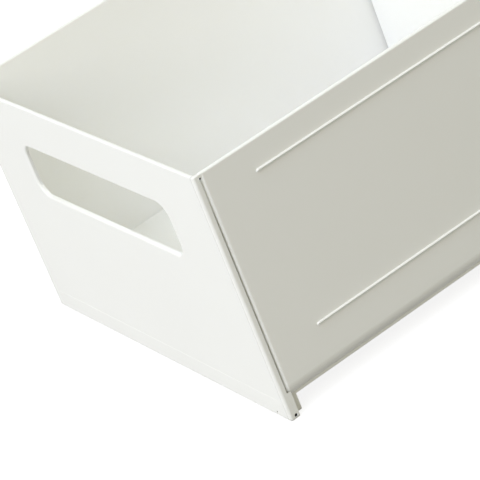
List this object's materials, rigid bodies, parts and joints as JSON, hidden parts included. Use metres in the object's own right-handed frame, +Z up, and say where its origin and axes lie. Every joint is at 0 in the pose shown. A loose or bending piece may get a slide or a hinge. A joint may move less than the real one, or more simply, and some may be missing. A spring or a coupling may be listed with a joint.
{
  "type": "drawer organizer",
  "caption": "Open moulded drawer organizer box with a slotted front panel, slim raised side ribs and a sliding cross divider.",
  "frame": {"origin": "middle of the footprint, on the surface that the organizer stands on", "axes": "+Y from the front panel to the back, +X to the right seen from the front, +Z up"},
  "size_m": [0.1514, 0.3, 0.093],
  "materials": {
    "moulded_shell": "off-white, fine satin",
    "moulded_tray": "off-white, fine satin",
    "moulded_front": "off-white, fine satin",
    "moulded_divider": "off-white, fine satin",
    "soft_grip": "pale grey, matt and soft"
  },
  "bodies": {
    "box": {"drawer_tub": "moulded_shell", "floor_tray": "moulded_tray", "front_panel": "moulded_front"},
    "sliding_divider": {"divider": "moulded_divider", "divider_left_grip": "soft_grip", "divider_right_grip": "soft_grip"}
  },
  "joints": [
    {"name": "divider_slide", "type": "slide", "parent": "box", "child": "sliding_divider", "axis": [0, 1, 0], "range_m": [-0.14, 0.117]}
  ]
}
